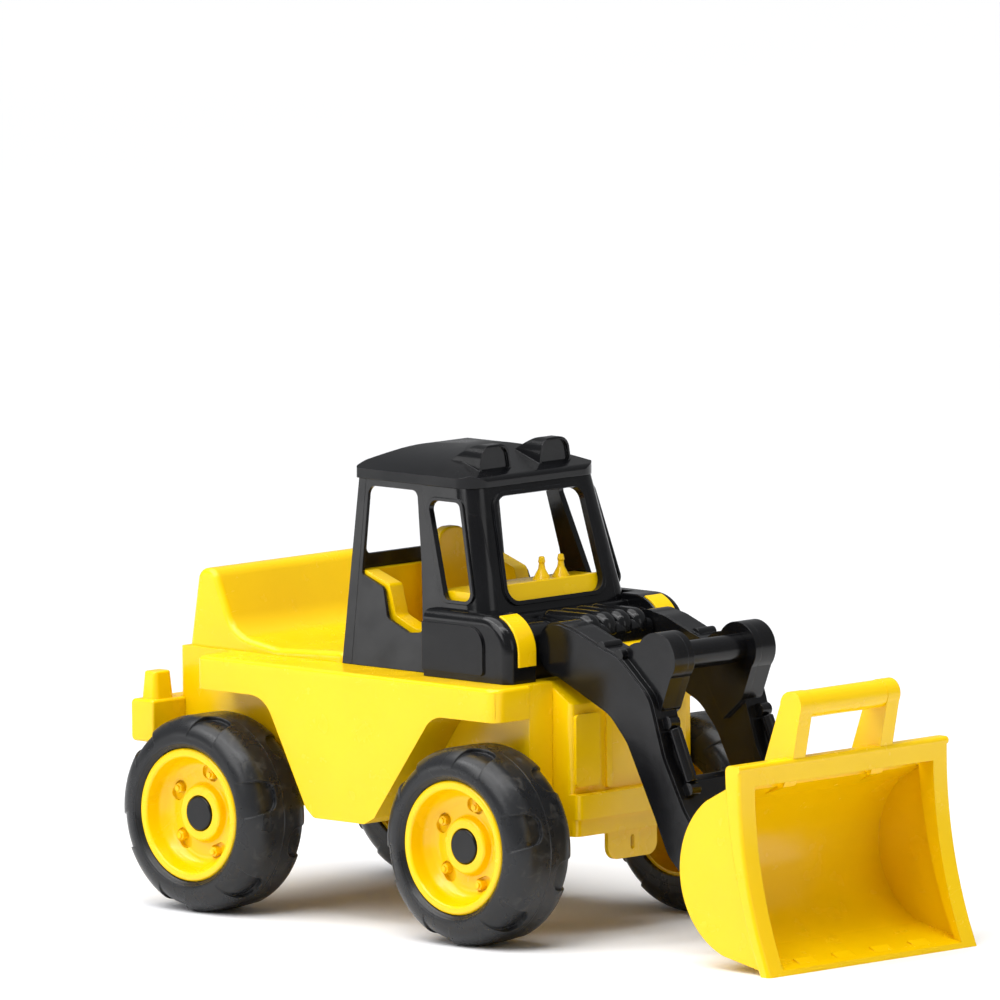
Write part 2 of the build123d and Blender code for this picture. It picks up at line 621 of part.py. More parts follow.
def cab_block(inset, over):
    """The cab's form, inset by a wall and run past both ends by a height: upright base, raked upper part."""
    base_w, sill_w, top_w = (width - inset for width in CAB_HALF_WIDTHS)
    base_lean = (base_w - sill_w) / (CAB_SILL_Z - DECK_Z)
    rear = CAB_REAR_X + inset
    foot_z, head_z = DECK_Z + 0.2 - over, CAB_TOP_Z + over
    foot_w, head_w = base_w + base_lean * over, top_w - lean * over
    with BuildPart() as block:
        with BuildSketch(Plane.XZ):
            outline(
                (rear, foot_z, 0),
                (CAB_BASE_FRONT_X - inset, foot_z, 0),
                (CAB_BASE_FRONT_X - inset, CAB_SILL_Z, 0),
                (WINDSCREEN_FOOT_X - inset, CAB_SILL_Z, 0),
                (WINDSCREEN_TOP_X - inset - rake * over, head_z, 0),
                (rear + 3, head_z, 0),
            )
        extrude(amount=150, both=True)
        with BuildSketch(Plane.YZ):
            outline(
                (-foot_w, foot_z, 0), (foot_w, foot_z, 0), (sill_w, CAB_SILL_Z, 0),
                (head_w, head_z, 0), (-head_w, head_z, 0), (-sill_w, CAB_SILL_Z, 0),
            )
        extrude(amount=250, both=True, mode=Mode.INTERSECT)
        upright = block.edges().filter_by(GeomType.LINE).filter_by_position(Axis.Z, CAB_SILL_Z + 10, CAB_TOP_Z)
        upright = [e for e in upright if abs(e.tangent_at(0.5).Z) > 0.8 and e.center().X > -60]
        fillet(upright, CAB_CORNER - inset)
    return block.part


with BuildPart() as cab_shell:
    add(cab_block(0, 0))
    # Front side panels stand proud of the door pillars behind them.
    with BuildSketch(cab_side_plane.offset(2), mode=Mode.PRIVATE) as recess:
        outline((-84, 115, 0), (-47, 5, 6), (-47, -70, 0), (-180, -70, 0), (-180, 115, 0))
    pillar_recess = extrude(recess.sketch, amount=-3.6, mode=Mode.PRIVATE)
    add([pillar_recess, pillar_recess.mirror(Plane.XZ)], mode=Mode.SUBTRACT)
    add(cab_block(CAB_WALL, 2), mode=Mode.SUBTRACT)
    # Lips around the windscreen and the side windows.
    with BuildSketch(windscreen_plane.offset(-1), mode=Mode.PRIVATE) as screen_lip:
        outline((-67, 7, 16), (67, 7, 16), (60, 111, 16), (-60, 111, 16))
    extrude(screen_lip.sketch, amount=3)
    with BuildSketch(cab_side_plane.offset(-1), mode=Mode.PRIVATE) as window_lip:
        outline((-77, 104, 9), (-31, 104, 9), (-5, 10, 9), (-46, 10, 9))
    lip = extrude(window_lip.sketch, amount=2.2, mode=Mode.PRIVATE)
    add([lip, lip.mirror(Plane.XZ)])
    # Openings: windscreen, front side windows, doorways and the open back.
    with BuildSketch(windscreen_plane.offset(-16), mode=Mode.PRIVATE) as screen:
        outline((-63, 11, 13), (63, 11, 13), (56, 107, 13), (-56, 107, 13))
    extrude(screen.sketch, amount=30, mode=Mode.SUBTRACT)
    with BuildSketch(cab_side_plane.offset(-12), mode=Mode.PRIVATE) as window:
        outline((-73.5, 101, 7), (-34, 101, 7), (-9, 13, 7), (-42.5, 13, 7))
    window_cut = extrude(window.sketch, amount=24, mode=Mode.PRIVATE)
    add([window_cut, window_cut.mirror(Plane.XZ)], mode=Mode.SUBTRACT)
    with BuildSketch(Plane.XZ):
        outline(
            (-151, 314, 3), (-123, 304, 6), (-115, 277, 6), (-87, 266, 8), (-69, 268, 5),
            (-77, 327, 0), (-90, 394, 8), (-151, 394, 8),
        )
    extrude(amount=150, both=True, mode=Mode.SUBTRACT)
    with BuildSketch(Plane.YZ.offset(CAB_REAR_X - 5)):
        outline((-78, 330, 6), (78, 330, 6), (72, 394, 6), (-72, 394, 6))
    extrude(amount=30, mode=Mode.SUBTRACT)

with BuildPart() as cab_back:
    add(cab_shell.part)
    with Locations((CAB_BACK_FRONT_X - 50, 0, CAB_SILL_Z)):
        Box(100, 300, 300, mode=Mode.INTERSECT)
cab_back.part.label = "cab_back"
export_step(cab_back.part, "parts/cab_back.step")

with BuildPart() as cab_side:
    add(cab_shell.part)
    with Locations((CAB_BACK_FRONT_X + SEAM + 100, -CAB_FRONT_HALF_WIDTH - SEAM - 50, CAB_SILL_Z)):
        Box(200, 100, 300, mode=Mode.INTERSECT)
save_pair(cab_side.part, "cab_side")

with BuildPart() as windscreen_frame:
    add(cab_shell.part)
    with Locations((CAB_BASE_FRONT_X + 50, 0, CAB_SILL_Z + 75)):
        Box(100, 2 * CAB_FRONT_HALF_WIDTH, 150, mode=Mode.INTERSECT)
windscreen_frame.part.label = "windscreen_frame"
export_step(windscreen_frame.part, "parts/windscreen_frame.step")

LAMP_FRONT_X = -34.0


def roof_form(inset):
    """The roof's crowned form, inset by a wall and run down past the cab's top by the same amount."""
    foot_z = CAB_TOP_Z + 0.1 - inset
    side_y = CAB_HALF_WIDTHS[2] + 0.5 - inset
    with BuildPart() as form:
        with BuildSketch(Plane.XY.offset(foot_z)):
            outline((-168 + inset, -side_y, 5), (-20 - inset, -side_y, CAB_CORNER - inset),
                    (-20 - inset, side_y, CAB_CORNER - inset), (-168 + inset, side_y, 5))
        extrude(amount=60)
        with BuildSketch(Plane.XZ):
            outline((-168 + inset, foot_z, 0), (-168 + inset, 414 - inset, 8), (-138, 429 - inset, 50),
                    (-88, 431 - inset, 70), (-20 - inset, 409 - inset, 5), (-20 - inset, foot_z, 0))
        extrude(amount=100, both=True, mode=Mode.INTERSECT)
        with BuildSketch(Plane.YZ):
            with BuildLine():
                Line((-side_y, foot_z), (side_y, foot_z))
                Line((side_y, foot_z), (side_y, 409 - inset))
                ThreePointArc((side_y, 409 - inset), (0, 431 - inset), (-side_y, 409 - inset))
                Line((-side_y, 409 - inset), (-side_y, foot_z))
            make_face()
        extrude(amount=200, both=True, mode=Mode.INTERSECT)
    return form.part


with BuildPart() as roof_lamp:
    with BuildSketch(Plane.YZ.offset(LAMP_FRONT_X)):
        outline((-22, 404, 0), (22, 404, 0), (17, 436, 13), (-17, 436, 13))
    extrude(amount=-44)
    with BuildSketch(Plane.XZ):
        outline((LAMP_FRONT_X, 404, 0), (LAMP_FRONT_X, 436, 2), (LAMP_FRONT_X - 14, 436, 14),
                (LAMP_FRONT_X - 44, 417, 0), (LAMP_FRONT_X - 44, 404, 0))
    extrude(amount=30, both=True, mode=Mode.INTERSECT)
    with BuildSketch(Plane.YZ.offset(LAMP_FRONT_X - 2.5)):
        outline((-19, 413, 3), (19, 413, 3), (14.8, 433.6, 11), (-14.8, 433.6, 11))
    extrude(amount=5, mode=Mode.SUBTRACT)

with BuildPart() as cab_roof:
    add(roof_form(0))
    # Two lamp housings that stand on the roof's front, each with a rimmed face.
    for y in (-39, 39):
        add(roof_lamp.part.moved(Location((0, y, 0))))
    # Hollow from beneath.
    add(roof_form(4), mode=Mode.SUBTRACT)
cab_roof.part.label = "cab_roof"
export_step(cab_roof.part, "parts/cab_roof.step")

# ---------------------------------------------------------------- cab interior
DASH_Z = 307.0
with BuildPart() as interior_tub:
    with BuildSketch(Plane.XZ):
        outline(
            (-161, 252, 0), (-56, 252, 0), (-56, CAB_SILL_Z + 0.3, 0), (0.3, CAB_SILL_Z + 0.3, 0),
            (-5.8, 312, 1), (-12, 312, 1), (-12, DASH_Z, 0), (-61, DASH_Z, 3), (-68, 270, 3), (-87, 268.5, 6),
            (-112, 279, 5), (-119.5, 306.5, 5), (-150, 317, 0), (-161, 317, 0),
        )
    extrude(amount=89.3, both=True)
    add(cab_block(CAB_WALL + CLEAR, 0), mode=Mode.INTERSECT)
    # Footwell between the flanges.
    with BuildSketch(Plane.XZ):
        outline((-150, 255.5, 6), (-70, 255.5, 4), (-70, 330, 0), (-150, 330, 0))
    extrude(amount=73, both=True, mode=Mode.SUBTRACT)
    # Hollow under the flanges and under the dash.
    for y in (76, -86.3):
        with BuildSketch(side_plane(y)):
            outline((-158, 250, 0), (-71, 250, 0), (-71, 266, 0), (-87, 265, 4), (-115, 276.5, 5),
                    (-122, 303.5, 5), (-158, 313.5, 0))
        extrude(amount=10.3, mode=Mode.SUBTRACT)
    with BuildSketch(Plane.XZ):
        outline((-64, 250, 0), (-59.2, 250, 0), (-53, CAB_SILL_Z + 3, 0), (-3.8, CAB_SILL_Z + 3, 0),
                (-8.2, DASH_Z - 3, 0), (-60, DASH_Z - 3, 0))
    extrude(amount=84, both=True, mode=Mode.SUBTRACT)
interior_tub.part.label = "interior_tub"
export_step(interior_tub.part, "parts/interior_tub.step")

with BuildPart() as toy_seat:
    with BuildSketch(Plane.YZ.offset(-136)):
        outline((-22, 255.7, 0), (22, 255.7, 0), (20, 351, 17), (-20, 351, 17))
    extrude(amount=11)
    with BuildSketch(Plane.XZ):
        outline((-126, 255.7, 0), (-92, 255.7, 0), (-88, 284, 6), (-126, 280, 0))
    extrude(amount=23, both=True)
    fillet(toy_seat.edges().filter_by(GeomType.CIRCLE).filter_by_position(Axis.Z, 330, 352), 2)
toy_seat.part.label = "toy_seat"
export_step(toy_seat.part, "parts/toy_seat.step")

for name, y in (("inner", 11.0), ("outer", 36.0)):
    with BuildPart() as lever:
        lever_plane = Plane(origin=(-25, y, DASH_Z), x_dir=(1, 0, 0), z_dir=(0, -1, 0))
        with BuildSketch(lever_plane):
            outline((0, 0, 0), (8.5, 0, 1), (8.3, 3, 2), (3.4, 12, 4), (2.6, 17, 0), (3.4, 18.5, 1),
                    (2.4, 23.5, 1.5), (0, 23.5, 0))
        revolve(axis=Axis((-25, y, DASH_Z), (0, 0, 1)))
    lever.part.label = f"control_lever_{name}"
    export_step(lever.part, f"parts/control_lever_{name}.step")


# ---------------------------------------------------------------- loader arms
def arm_outline():
    """Side view of an arm: a disc at each pivot, joined by the bent boom."""
    outline(
        (75, 287, 0),
        (96, 283, 40),
        (130, 270, 60),
        (152, 263, 40),
        (191, 229, 34),
        (208, 176, 60),
        (232, 131, 60),
        (267, 84, 0),
        (233, 65, 0),
        (210, 87, 30),
        (194, 120, 60),
        (160, 185, 40),
        (139, 208, 40),
        (75, 237, 0),
    )
    with Locations(ARM_PIVOT):
        Circle(25)
    with Locations(BUCKET_PIVOT):
        Circle(19)


def eye_outline():
    """Side view of the plate that carries the grip bar."""
    outline((134, 255, 0), (171, 281, 24), (190, 268, 0), (208, 246, 0), (196, 216, 8), (172, 196, 0))
    with Locations(EYE):
        Circle(EYE_RADIUS)


ROD_TOP = (205.0, 206.0)
ROD_FOOT = (230.5, 148.0)
ROD_Y = 60.0
with BuildPart() as loader_arm:
    cover_y = ARM_INNER_Y + ARM_COVER
    with BuildSketch(side_plane(cover_y)):
        arm_outline()
    extrude(amount=ARM_OUTER_Y - cover_y - 1.8)
    # The outer face stands up inside a narrow border.
    with BuildSketch(side_plane(cover_y)):
        arm_outline()
        offset(amount=-2.5, kind=Kind.INTERSECTION)
    extrude(amount=ARM_OUTER_Y - cover_y)
    with BuildSketch(side_plane(cover_y)):
        eye_outline()
    extrude(amount=66 - cover_y)
    with BuildSketch(side_plane(cover_y)):
        arm_outline()
        offset(amount=-4, kind=Kind.INTERSECTION)
    extrude(amount=ARM_OUTER_Y - cover_y - 4, mode=Mode.SUBTRACT)
    # Nubs on the upper edge, and the lugs that hold the mock hydraulic rod.
    cross_tube(129, 269, 5, 50, 73)
    cross_tube(151, 263.5, 5, 50, 73)
    for x, z in (ROD_TOP, ROD_FOOT):
        cross_tube(x - 2, z - 0.5, 6, ROD_Y - 6, ROD_Y + 6)
    # Bosses around the two pins.
    cross_tube(*ARM_PIVOT, 12, cover_y, ARM_OUTER_Y - 1)
    cross_tube(*BUCKET_PIVOT, 12, cover_y, ARM_OUTER_Y - 1)
    cross_tube(*ARM_PIVOT, 5 + RUNNING_FIT, cover_y, 70.4, mode=Mode.SUBTRACT)
    cross_tube(*BUCKET_PIVOT, AXLE_RADIUS + 0.02, cover_y, ARM_OUTER_Y, mode=Mode.SUBTRACT)
save_pair(loader_arm.part, "loader_arm")

with BuildPart() as arm_cover:
    with BuildSketch(side_plane(ARM_INNER_Y)):
        arm_outline()
        eye_outline()
    extrude(amount=ARM_COVER)
    with BuildSketch(side_plane(40)):
        eye_outline()
    extrude(amount=6)
    cross_tube(*ARM_PIVOT, 5 + RUNNING_FIT, 40, 50, mode=Mode.SUBTRACT)
    cross_tube(*BUCKET_PIVOT, AXLE_RADIUS + 0.02, 40, 50, mode=Mode.SUBTRACT)
save_pair(arm_cover.part, "arm_cover")

rod_plane = Plane(origin=(ROD_TOP[0], -ROD_Y, ROD_TOP[1]),
                  z_dir=(ROD_FOOT[0] - ROD_TOP[0], 0, ROD_FOOT[1] - ROD_TOP[1]))
rod_length = ((ROD_FOOT[0] - ROD_TOP[0]) ** 2 + (ROD_FOOT[1] - ROD_TOP[1]) ** 2) ** 0.5
with BuildPart() as hydraulic_rod:
    with BuildSketch(rod_plane.offset(6.5)):
        Circle(6)
    extrude(amount=rod_length - 13)
    fillet(hydraulic_rod.edges().filter_by(GeomType.CIRCLE), 1)
save_pair(hydraulic_rod.part, "hydraulic_rod")

with BuildPart() as grip_bar:
    cross_tube(*EYE, GRIP_RADIUS, -40, 40)
grip_bar.part.label = "grip_bar"
export_step(grip_bar.part, "parts/grip_bar.step")

with BuildPart() as cross_member:
    with BuildSketch(Plane.XZ):
        outline((199, 156, 3), (215, 152, 3), (225, 133, 3), (206, 128, 3))
    extrude(amount=ARM_INNER_Y, both=True)
cross_member.part.label = "cross_member"
export_step(cross_member.part, "parts/cross_member.step")

with BuildPart() as arm_pivot_pin:
    cross_tube(*ARM_PIVOT, 5, -70, 70)
arm_pivot_pin.part.label = "arm_pivot_pin"
export_step(arm_pivot_pin.part, "parts/arm_pivot_pin.step")

with BuildPart() as bucket_pin:
    cross_tube(*BUCKET_PIVOT, AXLE_RADIUS, -79, 79)
bucket_pin.part.label = "bucket_pin"
export_step(bucket_pin.part, "parts/bucket_pin.step")

with BuildPart() as bucket_pin_cap:
    cross_tube(*BUCKET_PIVOT, 9, ARM_OUTER_Y + 0.1, 81)
    fillet(bucket_pin_cap.edges().group_by(Axis.Y)[0], 2)
    cross_tube(*BUCKET_PIVOT, AXLE_RADIUS + 0.02, ARM_OUTER_Y, 79.1, mode=Mode.SUBTRACT)
save_pair(bucket_pin_cap.part, "bucket_pin_cap")

# ---------------------------------------------------------------- bucket
MOUTH_HALF_WIDTH = 117.0
with BuildPart() as bucket:
    # Scoop: rounded back, nearly flat floor, mouth leaning back towards the top.
    with BuildSketch(Plane.XZ):
        with BuildLine():
            Line((342, 167), (312, 151.5))
            ThreePointArc((312, 151.5), (279, 88), (332, 13.5))
            Line((332, 13.5), (385, 2.8))
            ThreePointArc((385, 2.8), (355, 80), (342, 167))
        make_face()
    extrude(amount=BUCKET_SIDE_Y, both=True)
    # Rolled rim around the mouth.
    with BuildSketch(Plane.XZ):
        with BuildLine():
            ThreePointArc((382, 0), (354.5, 80), (341, 164))
            Line((341, 164), (342, 181))
            ThreePointArc((342, 181), (344, 185.3), (348, BUCKET_TOP_Z))
            Line((348, BUCKET_TOP_Z), (356, BUCKET_TOP_Z))
            ThreePointArc((356, BUCKET_TOP_Z), (359, 185.5), (359.5, 182))
            ThreePointArc((359.5, 182), (369, 80), (395, 0))
            Line((395, 0), (382, 0))
        make_face()
    extrude(amount=BUCKET_HALF_WIDTH, both=True)
    mouth_edges = [e for e in bucket.edges() if abs(e.center().Y) > BUCKET_HALF_WIDTH - 0.5 and e.length > 60]
    fillet(mouth_edges, 3.5)
    with BuildSketch(Plane.XZ):
        with BuildLine():
            Line((341, 162), (314, 147.5))
            ThreePointArc((314, 147.5), (283, 88), (333, 17.4))
            Line((333, 17.4), (384, 7))
            ThreePointArc((384, 7), (355.4, 80), (341, 162))
        make_face()
    extrude(amount=BUCKET_SIDE_Y - BUCKET_WALL, both=True, mode=Mode.SUBTRACT)
    with BuildSketch(Plane.XZ):
        outline((345, 15, 0), (384, 7, 0), (402, 2.4, 0), (402, 167, 0), (338, 167, 2), (338, 158, 0))
    extrude(amount=MOUTH_HALF_WIDTH, both=True, mode=Mode.SUBTRACT)
    # Cutting lip and its teeth.
    with BuildSketch(Plane.XZ):
        outline((376, 4.8, 0), (389, 1, 0), (389, 3.4, 0), (376, 8.6, 0))
    extrude(amount=MOUTH_HALF_WIDTH + 1, both=True)
    with BuildSketch(Plane.XZ):
        outline((374, 6, 0), (382, 0.6, 0), (395, 0, 0), (394.5, 2.4, 0), (376, 11, 0))
    tooth = extrude(amount=11.5, both=True, mode=Mode.PRIVATE)
    for step in (-1.5, -0.5, 0.5, 1.5):
        add(tooth.moved(Location((0, step * TOOTH_PITCH, 0))))
    # Handle posts.
    for y in (POST_INNER_Y, -POST_OUTER_Y):
        with BuildSketch(side_plane(y)):
            outline((315, 149, 0), (321, 178, 10), (343, 237, 0), (367.4, 233, 0), (357, 183, 0), (345, 160, 0))
            with Locations(BUCKET_GRIP):
                Circle(BUCKET_GRIP_RADIUS + 0.5)
        extrude(amount=POST_OUTER_Y - POST_INNER_Y)
    # Hinge lugs behind the scoop.
    for y in (33, -44.4):
        with BuildSketch(side_plane(y)):
            outline((246, 62, 0), (290, 52, 0), (290, 104, 0), (246, 88, 0))
            with Locations(BUCKET_PIVOT):
                Circle(13.5)
        extrude(amount=11.4)
    with BuildSketch(Plane.XZ):
        with BuildLine():
            Line((314, 147.5), (341, 162))
            Line((341, 162), (345, 17.4))
            Line((345, 17.4), (333, 17.4))
            ThreePointArc((333, 17.4), (283, 88), (314, 147.5))
        make_face()
    extrude(amount=60, both=True, mode=Mode.SUBTRACT)
    cross_tube(*BUCKET_PIVOT, AXLE_RADIUS + RUNNING_FIT, -50, 50, mode=Mode.SUBTRACT)
bucket.part.label = "bucket"
export_step(bucket.part, "parts/bucket.step")

with BuildPart() as bucket_grip:
    cross_tube(*BUCKET_GRIP, BUCKET_GRIP_RADIUS, -POST_INNER_Y, POST_INNER_Y)
bucket_grip.part.label = "bucket_grip"
export_step(bucket_grip.part, "parts/bucket_grip.step")
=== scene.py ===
import json
import math

import bpy
from mathutils import Matrix, Vector

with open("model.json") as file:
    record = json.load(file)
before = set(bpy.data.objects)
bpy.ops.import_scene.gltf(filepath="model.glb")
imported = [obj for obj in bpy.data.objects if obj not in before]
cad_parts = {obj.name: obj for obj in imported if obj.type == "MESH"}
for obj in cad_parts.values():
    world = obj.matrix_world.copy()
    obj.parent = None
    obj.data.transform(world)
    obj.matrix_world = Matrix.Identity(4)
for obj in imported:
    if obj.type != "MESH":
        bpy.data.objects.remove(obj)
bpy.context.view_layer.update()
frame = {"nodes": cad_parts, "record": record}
nodes = frame["nodes"]

# Places of the wheels in the frame, in metres, which the tyre material follows.
AXLE_X = {"front": 0.045, "rear": -0.29}
AXLE_Z = 0.09
TYRE_MID_Y = 0.146
TREAD_FROM_RADIUS = 0.080
TREAD_RADIUS = 0.0895
RING_BAND = (0.0625, 0.0672)      # radii between which the sidewall's fine rings run
RING_RATE = 3600.0                # radians per metre of radius, a ring about every 1.75 mm

# The moulded plastic: how round its edges look, in metres, and how strong the waviness of its gloss is.
PLASTIC_EDGE = 0.0009
ORANGE_PEEL = 0.14

# Studio sizes, in metres.
FLOOR_RADIUS = 23.0
BACKDROP_RADIUS = 24.0


# ------------------------------------------------------------------ node helpers
class Graph:
    """A material's node tree, built by short calls that return output sockets."""

    def __init__(self, name):
        self.material = bpy.data.materials.new(name)
        self.material.use_nodes = True
        self.tree = self.material.node_tree
        self.tree.nodes.clear()
        self.shader = self.tree.nodes.new("ShaderNodeBsdfPrincipled")
        out = self.tree.nodes.new("ShaderNodeOutputMaterial")
        self.tree.links.new(self.shader.outputs["BSDF"], out.inputs["Surface"])
        self.place = self.tree.nodes.new("ShaderNodeTexCoord").outputs["Object"]

    def put(self, node, inputs):
        for key, value in inputs.items():
            socket = node.inputs[key]
            if isinstance(value, bpy.types.NodeSocket):
                self.tree.links.new(value, socket)
            else:
                socket.default_value = value

    def noise(self, scale, detail=2.0, distortion=0.0, stretch=None):
        node = self.tree.nodes.new("ShaderNodeTexNoise")
        where = self.place
        if stretch:
            mapping = self.tree.nodes.new("ShaderNodeMapping")
            self.put(mapping, {"Vector": self.place, "Scale": stretch})
            where = mapping.outputs["Vector"]
        self.put(node, {"Vector": where, "Scale": scale, "Detail": detail, "Distortion": distortion})
        return node.outputs["Fac"]

    def math(self, operation, *values, clamp=False):
        node = self.tree.nodes.new("ShaderNodeMath")
        node.operation = operation
        node.use_clamp = clamp
        self.put(node, dict(enumerate(values)))
        return node.outputs["Value"]

    def remap(self, value, low, high, to_low=0.0, to_high=1.0):
        node = self.tree.nodes.new("ShaderNodeMapRange")
        node.interpolation_type = "SMOOTHSTEP"
        self.put(node, {"Value": value, "From Min": low, "From Max": high,
                        "To Min": to_low, "To Max": to_high})
        return node.outputs["Result"]

    def mix(self, factor, a, b):
        node = self.tree.nodes.new("ShaderNodeMix")
        node.data_type = "RGBA"
        self.put(node, {0: factor, 6: a, 7: b})
        return node.outputs[2]

    def rounded_normal(self, radius):
        """Surface normal as if the edges had this radius, and how close the point is to an edge."""
        bevel = self.tree.nodes.new("ShaderNodeBevel")
        bevel.samples = 4
        bevel.inputs["Radius"].default_value = radius
        geometry = self.tree.nodes.new("ShaderNodeNewGeometry")
        dot = self.tree.nodes.new("ShaderNodeVectorMath")
        dot.operation = "DOT_PRODUCT"
        self.put(dot, {0: bevel.outputs["Normal"], 1: geometry.outputs["Normal"]})
        return bevel.outputs["Normal"], self.remap(dot.outputs["Value"], 0.995, 0.8)

    def bump(self, height, distance, strength, normal):
        node = self.tree.nodes.new("ShaderNodeBump")
        self.put(node, {"Height": height, "Distance": distance, "Strength": strength, "Normal": normal})
        return node.outputs["Normal"]

    def split(self, socket):
        node = self.tree.nodes.new("ShaderNodeSeparateXYZ")
        self.put(node, {0: socket})
        return node.outputs["X"], node.outputs["Y"], node.outputs["Z"]

    def finish(self, **inputs):
        self.put(self.shader, {key.replace("_", " "): value for key, value in inputs.items()})
        return self.material


def colour(red, green, blue):
    """An sRGB colour, 0 to 255, as a linear RGBA tuple."""
    def linear(v):
        v /= 255.0
        return v / 12.92 if v <= 0.04045 else ((v + 0.055) / 1.055) ** 2.4

    return (linear(red), linear(green), linear(blue), 1.0)


# ------------------------------------------------------------------ materials
def gloss_plastic(name, tone, shade, wear_and_highlight_tone, wear_and_highlight_amount, roughness, specular, dust=None):
    """Glossy moulded plastic: slow drift of tone, edges lightened as rubbed wear and painted highlight,
    hairline scuffs and a faint orange peel.
    """
    g = Graph(name)
    normal, near_edge = g.rounded_normal(PLASTIC_EDGE)
    drift = g.remap(g.noise(7.0, 3.0), 0.3, 0.7)
    base = g.mix(drift, tone, shade)
    # Edges lightened toward the third colour: partly rubbed wear, partly painted highlight along the edges.
    wear_and_highlight_mask = g.math("MULTIPLY", near_edge, g.remap(g.noise(55.0, 4.0), 0.42, 0.68, 0.0, wear_and_highlight_amount))
    base = g.mix(wear_and_highlight_mask, base, wear_and_highlight_tone)
    if dust:
        settled = g.remap(g.noise(24.0, 5.0, 0.6), 0.5, 0.78, 0.0, 0.02)
        base = g.mix(settled, base, dust)
    lines = g.math("ABSOLUTE", g.math("SUBTRACT", g.noise(34.0, 1.0, 1.2, (1.0, 1.0, 2.4)), 0.5))
    hairline = g.remap(lines, 0.0, 0.006, 1.0, 0.0)
    hairline = g.math("MULTIPLY", hairline, g.remap(g.noise(16.0, 2.0), 0.5, 0.62))
    rough = g.math("ADD", roughness, g.remap(g.noise(38.0, 4.0), 0.3, 0.75, -0.03, 0.07))
    rough = g.math("ADD", rough, g.math("MULTIPLY", hairline, 0.07), clamp=True)
    normal = g.bump(g.noise(90.0, 1.0), 0.0006, ORANGE_PEEL, normal)
    normal = g.bump(g.noise(1400.0, 2.0), 0.00008, 0.35, normal)
    normal = g.bump(g.math("SUBTRACT", 1.0, hairline), 0.00003, 0.15, normal)
    g.shader.inputs["Specular IOR Level"].default_value = specular
    return g.finish(Base_Color=base, Roughness=rough, Normal=normal, IOR=1.5)


def tyre_plastic(name, axle_x):
    """Satin black moulded tyre with a parting line round the tread and fine rings by the rim."""
    g = Graph(name)
    normal, near_edge = g.rounded_normal(0.0022)
    x, y, z = g.split(g.place)
    from_x = g.math("SUBTRACT", x, axle_x)
    from_z = g.math("SUBTRACT", z, AXLE_Z)
    radius = g.math("SQRT", g.math("ADD", g.math("MULTIPLY", from_x, from_x),
                                   g.math("MULTIPLY", from_z, from_z)))
    drift = g.remap(g.noise(9.0, 3.0), 0.3, 0.7)
    base = g.mix(drift, colour(24, 25, 27), colour(31, 32, 34))
    # Edges lightened toward grey: partly rubbed wear, partly painted highlight along the edges.
    wear_and_highlight_mask = g.math("MULTIPLY", near_edge, g.remap(g.noise(60.0, 4.0), 0.4, 0.66, 0.0, 0.45))
    base = g.mix(wear_and_highlight_mask, base, colour(74, 75, 77))
    on_tread = g.remap(radius, TREAD_FROM_RADIUS, TREAD_RADIUS)
    scuffed = g.math("MULTIPLY", on_tread, g.remap(g.noise(90.0, 5.0, 0.8), 0.52, 0.7, 0.0, 0.28))
    base = g.mix(scuffed, base, colour(88, 86, 82))
    rough = g.math("ADD", g.remap(g.noise(45.0, 4.0), 0.3, 0.75, 0.25, 0.36),
                   g.math("MULTIPLY", scuffed, 0.6), clamp=True)
    from_mid = g.math("ABSOLUTE", g.math("SUBTRACT", g.math("ABSOLUTE", y), TYRE_MID_Y))
    parting = g.remap(from_mid, 0.0, 0.0009, 1.0, 0.0)
    rings = g.math("SINE", g.math("MULTIPLY", radius, RING_RATE))
    inner_fade = g.remap(radius, RING_BAND[0], RING_BAND[0] + 0.0005)
    outer_fade = g.remap(radius, RING_BAND[1] - 0.0007, RING_BAND[1], 1.0, 0.0)
    ring_zone = g.math("MULTIPLY", inner_fade, outer_fade)
    normal = g.bump(g.math("MULTIPLY", rings, ring_zone), 0.0002, 0.5, normal)
    normal = g.bump(parting, 0.0005, 0.8, normal)
    normal = g.bump(g.noise(800.0, 3.0), 0.00016, 0.5, normal)
    normal = g.bump(g.noise(70.0, 2.0), 0.0008, 0.2, normal)
    g.shader.inputs["Specular IOR Level"].default_value = 0.35
    return g.finish(Base_Color=base, Roughness=rough, Normal=normal, IOR=1.48)


def brushed_steel(name):
    """Drawn steel rod: fine lines along its length, and a painted highlight along its edges."""
    g = Graph(name)
    normal, near_edge = g.rounded_normal(0.0004)
    draw = g.noise(900.0, 2.0, 0.0, (1.0, 0.02, 1.0))
    base = g.mix(g.remap(draw, 0.3, 0.7), colour(150, 151, 154), colour(186, 187, 190))
    # Painted highlight: edges lightened toward pale steel.
    base = g.mix(g.math("MULTIPLY", near_edge, 0.5), base, colour(214, 214, 216))
    rough = g.remap(draw, 0.3, 0.7, 0.24, 0.4)
    normal = g.bump(draw, 0.00006, 0.5, normal)
    return g.finish(Base_Color=base, Roughness=rough, Normal=normal, Metallic=1.0)


# The third colour of each plastic lightens its edges: partly wear, partly painted edge highlight.
yellow = gloss_plastic("yellow_gloss", colour(243, 200, 0), colour(239, 194, 0), colour(250, 216, 50),
                       wear_and_highlight_amount=0.15, roughness=0.22, specular=0.4)
black = gloss_plastic("black_gloss", colour(11, 11, 13), colour(16, 17, 19), colour(78, 80, 86),
                      wear_and_highlight_amount=0.35, roughness=0.17, specular=0.3, dust=colour(120, 118, 112))
steel = brushed_steel("axle_steel")
tyres = {end: tyre_plastic(f"tyre_satin_{end}", x) for end, x in AXLE_X.items()}

slot_of = {part["node"]: part["material_slot"] for part in frame["record"]["subparts"]}
finishes = {"yellow_plastic": yellow, "black_plastic": black, "steel": steel}
for name, node in nodes.items():
    material = tyres[name.split("_")[1]] if name.startswith("tyre") else finishes[slot_of[name]]
    node.data.materials.clear()
    node.data.materials.append(material)


